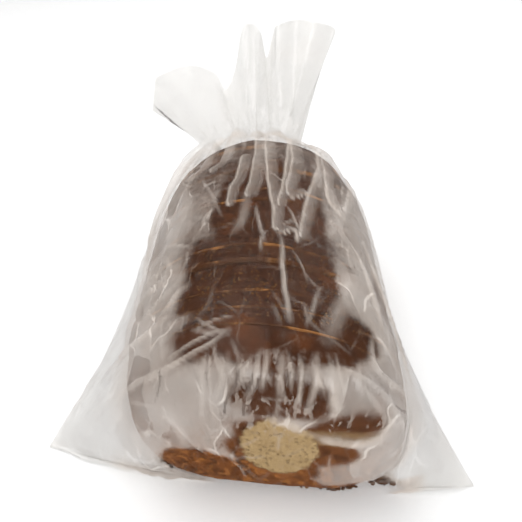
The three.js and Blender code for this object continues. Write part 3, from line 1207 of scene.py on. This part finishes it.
def filmFinish():
    f = Finish("filmPlastic")
    point = f.place()
    fog = f.add("ShaderNodeAttribute", {"attribute_name": "haze"}, None, "Fac")
    crest = f.add("ShaderNodeAttribute", {"attribute_name": "crest"}, None, "Fac")
    # painted shade: the tuck lines make the film darker and more opaque along its folds
    tuckShade = f.step(f.add("ShaderNodeAttribute", {"attribute_name": "tuckShade"}, None, "Fac"), 0.45, 1.0)
    flat = f.add("ShaderNodeUVMap", {"uv_map": "film"})
    flat = f.add("ShaderNodeVectorMath", {"operation": "MULTIPLY"}, {0: flat, 1: filmLook["tubeSize"]})
    swirl = f.add("ShaderNodeTexNoise", {"noise_type": "FBM"}, {"Vector": point, "Scale": 1 / 20}, "Color")
    values = {0: swirl, 1: filmLook["swirl"], 2: flat}
    bent = f.add("ShaderNodeVectorMath", {"operation": "MULTIPLY_ADD"}, values)
    drawn = f.add("ShaderNodeVectorMath", {"operation": "MULTIPLY"}, {0: bent, 1: filmLook["along"]})
    mottle = f.noise(point, 22, 3)
    fine = f.noise(point, 4.5, 4, 0.65)
    veil = f.step(fog + (fine - 0.5) * 0.30, 0.04, 0.46)
    panes = f.cells(drawn, filmLook["facet"], output="Color")
    edges = f.cells(drawn, filmLook["facet"], "DISTANCE_TO_EDGE")
    small = f.cells(drawn, filmLook["smallFacet"], "DISTANCE_TO_EDGE")
    bright = f.step(edges, 0.035, 0.008) * f.step(f.noise(point, 24, 2), 0.46, 0.6)
    hair = f.step(small, 0.06, 0.02) * f.step(f.noise(point, 15, 2), 0.52, 0.66)
    x, y, z = f.axes(point)
    torn = f.noise(drawn, 3.4, 3, 0.6)
    shards = f.step(torn, 0.55, 0.58) * f.step(f.noise(point, 12, 2), 0.38, 0.52)
    shards = shards * f.step(y, 14, 6) * f.step(z, 50, 56)  # only high on the heel
    slit = f.step((2 * f.noise(drawn, 6, 2) - 1).size(), 0.035, 0.012)
    slit = slit * f.step(f.noise(point, 13, 2), 0.56, 0.66)
    least, more = filmLook["milk"]
    misty = least + more * fog + filmLook["mottled"] * (mottle - 0.5) + filmLook["faceted"] * (panes - 0.5)
    misty = veil * misty
    misty = misty * (1 - 0.75 * slit * (1 - fog)) + filmLook["shards"] * shards * (1 - veil)
    broadLine, fineLine = filmLook["lines"]
    lines = (broadLine * bright + fineLine * hair) * (0.2 + 0.8 * veil)
    folded = crest * (0.85 + 0.5 * (fine - 0.5))
    alpha = misty + lines
    alpha = (alpha + (0.9 - alpha) * folded).atLeast(0.7 * tuckShade)
    relief = f.bump(edges, 1.6 * mm, 0.8)
    relief = f.bump(small, 0.5 * mm, 0.3, relief)
    relief = f.bump(f.noise(drawn, 7, 3, 0.6), 1.4 * mm, 0.5, relief)
    alpha = alpha.atLeast(0.0).atMost(filmLook["densest"])
    thick = (fog * fog + 0.5 * (mottle - 0.5)).atLeast(0).atMost(1)
    colour = f.blend(thick, filmLook["thin"], filmLook["thick"])
    # painted shade along the tucks
    colour = f.blend(tuckShade, colour, filmLook["tuckShade"])
    values = {"Base Color": colour, "Roughness": filmLook["rough"], "Normal": relief}
    skin = f.add("ShaderNodeBsdfPrincipled", None, values)
    glow = f.add("ShaderNodeBsdfTranslucent", None, {"Color": filmLook["glow"], "Normal": relief})
    clear = f.add("ShaderNodeBsdfTransparent")
    values = {"Color": tint(255, 255, 255), "Roughness": filmLook["glossRough"], "Normal": relief}
    gloss = f.add("ShaderNodeBsdfAnisotropic", None, values)
    glazed = f.add("ShaderNodeMixShader", None, {0: filmLook["gloss"], 1: clear, 2: gloss})
    milk = f.add("ShaderNodeMixShader", None, {0: filmLook["glowShare"], 1: skin, 2: glow})
    return f.finish(f.add("ShaderNodeMixShader", None, {0: alpha, 1: glazed, 2: milk}))


scattered = {
    "heaps": (  # where they gathered by the sealed end: centre, spread and how many
        {"centre": (67, 6), "spread": (9, 4.0), "amount": 60},
        {"centre": (40, 1), "spread": (14, 1.5), "amount": 16},
        {"centre": (-52, 15), "spread": (14, 4.0), "amount": 26},
    ),
    "inside": 2 * mm,  # how far they stay from the sealed end
    "size": (0.5 * mm, 1.15 * mm),
    "seed": 31,
}


def makeCrumbs():
    draws = random.Random(scattered["seed"])
    weld = sealedEnd(np.linspace(1, 0, 60))[:, :2].T
    bm = bmesh.new()
    for heap in scattered["heaps"]:
        for number in range(heap["amount"]):
            size = draws.uniform(*scattered["size"])
            made = bmesh.ops.create_icosphere(bm, subdivisions=2, radius=size)["verts"]
            offset = Vector((draws.random(), draws.random(), draws.random())) * 50
            for corner in made:
                corner.co *= 1 + 0.5 * noise.noise(corner.co / size + offset)
            turn = Matrix.Rotation(draws.uniform(0, math.tau), 3, "Z")
            stretch = (draws.uniform(0.9, 1.7), 1, draws.uniform(0.55, 0.85))
            bmesh.ops.scale(bm, verts=made, vec=stretch)
            bmesh.ops.rotate(bm, verts=made, matrix=turn)
            x = heap["centre"][0] + draws.gauss(0, heap["spread"][0] / 2)
            y = heap["centre"][1] + draws.gauss(0, heap["spread"][1] / 2)
            y = max(y * mm, float(np.interp(x, *weld)) * mm + scattered["inside"])
            bmesh.ops.translate(bm, verts=made, vec=(x * mm, y, size * 0.6 + bag["table"] + 0.3 * mm))
    print("crumbs:", sum(heap["amount"] for heap in scattered["heaps"]))
    return finished(bm, "crumbs", [crumb])


filmPlastic = filmFinish()
filmPlastic.surface_render_method = "BLENDED"
crumbs = makeCrumbs()
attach(crumbs, "root")
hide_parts("bread_bag")
film = makeFilm()
fitFilm(film, bread + [crumbs])
foldFilm(film)
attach(film, "root")
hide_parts("bread_bag")


studio = {
    "floor": 3.0,
    "world": 0.56,
}


def makeStudio():
    bm = bmesh.new()
    bmesh.ops.create_grid(bm, x_segments=1, y_segments=1, size=studio["floor"] / 2)
    f = Finish("paleFloor")
    grain = f.noise(f.place(), 40, 3)
    colour = f.blend(grain, tint(248, 248, 248), tint(252, 252, 252))
    floor = finished(bm, "floor", [f.finish({"Base Color": colour, "Roughness": 0.7})])
    world = bpy.data.worlds.new("studio")
    world.use_nodes = True
    world.node_tree.nodes["Background"].inputs["Color"].default_value = (1, 1, 1, 1)
    world.node_tree.nodes["Background"].inputs["Strength"].default_value = studio["world"]
    scene.world = world


lamps = {  # places in metres, power in watts
    "topLamp": {"place": (-0.25, 0.25, 0.85), "aim": (0, 0.0, 0.05), "size": 0.9, "power": 4.8},
    "backLamp": {"place": (0.3, 0.7, 0.5), "aim": (0, 0.0, 0.07), "size": 0.5, "power": 1.2},
    "frontLamp": {"place": (0.12, -0.8, 0.6), "aim": (0, 0.0, 0.05), "size": 0.5, "power": 3.4},
}


def addLamp(name):
    lamp = bpy.data.lights.new(name, "AREA")
    lamp.shape = "DISK"
    lamp.size = lamps[name]["size"]
    lamp.energy = lamps[name]["power"]
    holder = bpy.data.objects.new(name, lamp)
    holder.location = lamps[name]["place"]
    towards = Vector(lamps[name]["aim"]) - holder.location
    holder.rotation_euler = towards.to_track_quat("-Z", "Y").to_euler()
    scene.collection.objects.link(holder)


view = {
    "down": math.radians(38),
    "back": 214.4 * mm,  # from the loaf's foot
    "up": 320 * mm,
    "lens": 48.07,
}


def makeCamera():
    camera = bpy.data.cameras.new("camera")
    camera.lens = view["lens"]
    camera.sensor_width = 36
    camera.clip_start = 0.01
    holder = bpy.data.objects.new("camera", camera)
    holder.location = foot + Vector((0, -view["back"], view["up"]))
    holder.rotation_euler = (math.pi / 2 - view["down"], 0, 0)
    scene.collection.objects.link(holder)
    scene.camera = holder


makeStudio()
makeCamera()
for name in lamps:
    addLamp(name)
print("studio:", len(lamps), "lamps and the floor")
scene.view_settings.view_transform = "Standard"
scene.cycles.denoising_input_passes = "RGB"
